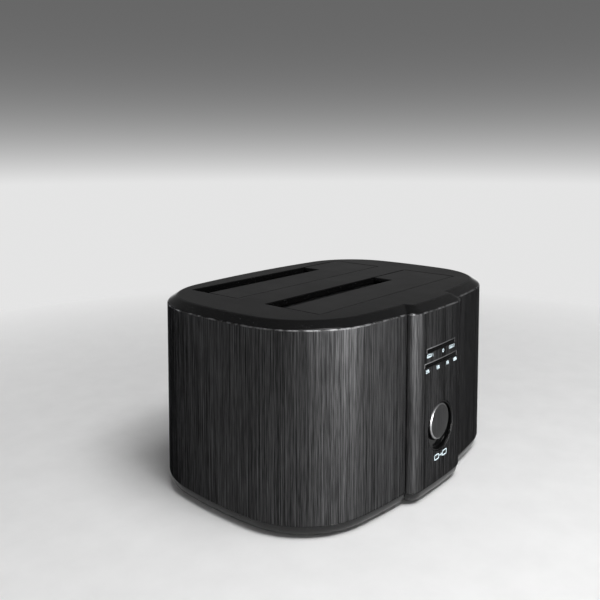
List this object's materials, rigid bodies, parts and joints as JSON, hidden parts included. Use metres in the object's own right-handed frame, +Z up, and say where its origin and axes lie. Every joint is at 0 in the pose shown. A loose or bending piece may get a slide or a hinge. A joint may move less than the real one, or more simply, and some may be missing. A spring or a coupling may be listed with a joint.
{
  "type": "hard drive docking station",
  "caption": "Free-standing drive docking station: bowed brushed black body, bevelled glossy lid, sprung flaps over the drive bays, raised front panel with light windows and a push button.",
  "frame": {"origin": "on the desk under the feet, in the middle of the whole footprint", "axes": "+Z up, +X to the right seen from the front, -Y towards the front panel"},
  "size_m": [0.148, 0.1084, 0.0798],
  "materials": {
    "brushed_black": "black, brushed upright, satin lacquer",
    "gloss_black": "polished black moulding",
    "satin_black": "fine satin black moulding",
    "dark_window": "smoked light window",
    "inner_black": "plain black moulding",
    "zinc_steel": "zinc-plated steel",
    "spring_steel": "drawn spring wire",
    "socket_plate": "bright plated sheet",
    "gold_contact": "plated contacts",
    "board_green": "solder mask",
    "chip_black": "moulded chip body",
    "can_alu": "sleeveless capacitor can",
    "coil_grey": "ferrite block",
    "tongue_blue": "contact carrier",
    "led_white": "clear lamp body",
    "plunger_red": "moulded plunger",
    "ribbon_grey": "flat cable",
    "header_ivory": "moulded header",
    "foot_rubber": "soft dark rubber"
  },
  "bodies": {
    "housing": {"outer_shell": "brushed_black", "front_panel": "brushed_black", "top_cover": "gloss_black", "base_tray": "gloss_black", "rubber_feet": "foot_rubber", "base_screws": "zinc_steel", "drive_cradle": "inner_black", "cradle_screws": "zinc_steel", "front_hinge_pin": "zinc_steel", "rear_hinge_pin": "zinc_steel", "front_flap_spring": "spring_steel", "rear_flap_spring": "spring_steel", "main_board": "board_green", "board_screws": "zinc_steel", "bridge_chip": "chip_black", "filter_capacitors": "can_alu", "power_inductors": "coil_grey", "front_sata_connector": "inner_black", "rear_sata_connector": "inner_black", "front_sata_contacts": "gold_contact", "rear_sata_contacts": "gold_contact", "usb_socket_shell": "socket_plate", "usb_socket_tongue": "tongue_blue", "dc_jack": "inner_black", "dc_jack_pin": "zinc_steel", "switch_housing": "inner_black", "control_board": "board_green", "panel_screws": "zinc_steel", "status_leds": "led_white", "tact_switch": "chip_black", "button_bezel": "gloss_black", "upper_light_window": "dark_window", "lower_light_window": "dark_window", "ribbon_cable": "ribbon_grey", "ribbon_headers": "header_ivory"},
    "front_flap": {"front_flap": "satin_black"},
    "rear_flap": {"rear_flap": "satin_black"},
    "button": {"copy_button": "brushed_black", "tact_plunger": "plunger_red"},
    "rocker": {"power_rocker": "satin_black"}
  },
  "joints": [
    {"name": "front_flap_hinge", "type": "hinge", "parent": "housing", "child": "front_flap", "pos_m": [0, -0.03555, 0.075], "axis": [-1, 0, 0], "range_deg": [0, 88], "stiffness_Nm_per_rad": 0.01, "springref_deg": -28.65, "deforming": ["front_flap_spring"]},
    {"name": "rear_flap_hinge", "type": "hinge", "parent": "housing", "child": "rear_flap", "pos_m": [0, 0.00795, 0.075], "axis": [-1, 0, 0], "range_deg": [0, 88], "stiffness_Nm_per_rad": 0.01, "springref_deg": -28.65, "deforming": ["rear_flap_spring"]},
    {"name": "button_press", "type": "slide", "parent": "housing", "child": "button", "axis": [0, 1, 0], "range_m": [0, 0.001], "stiffness_N_per_m": 150, "springref_m": -0.001},
    {"name": "rocker_tilt", "type": "hinge", "parent": "housing", "child": "rocker", "pos_m": [-0.028, 0.04825, 0.022], "axis": [0, 0, 1], "range_deg": [0, 16]}
  ]
}
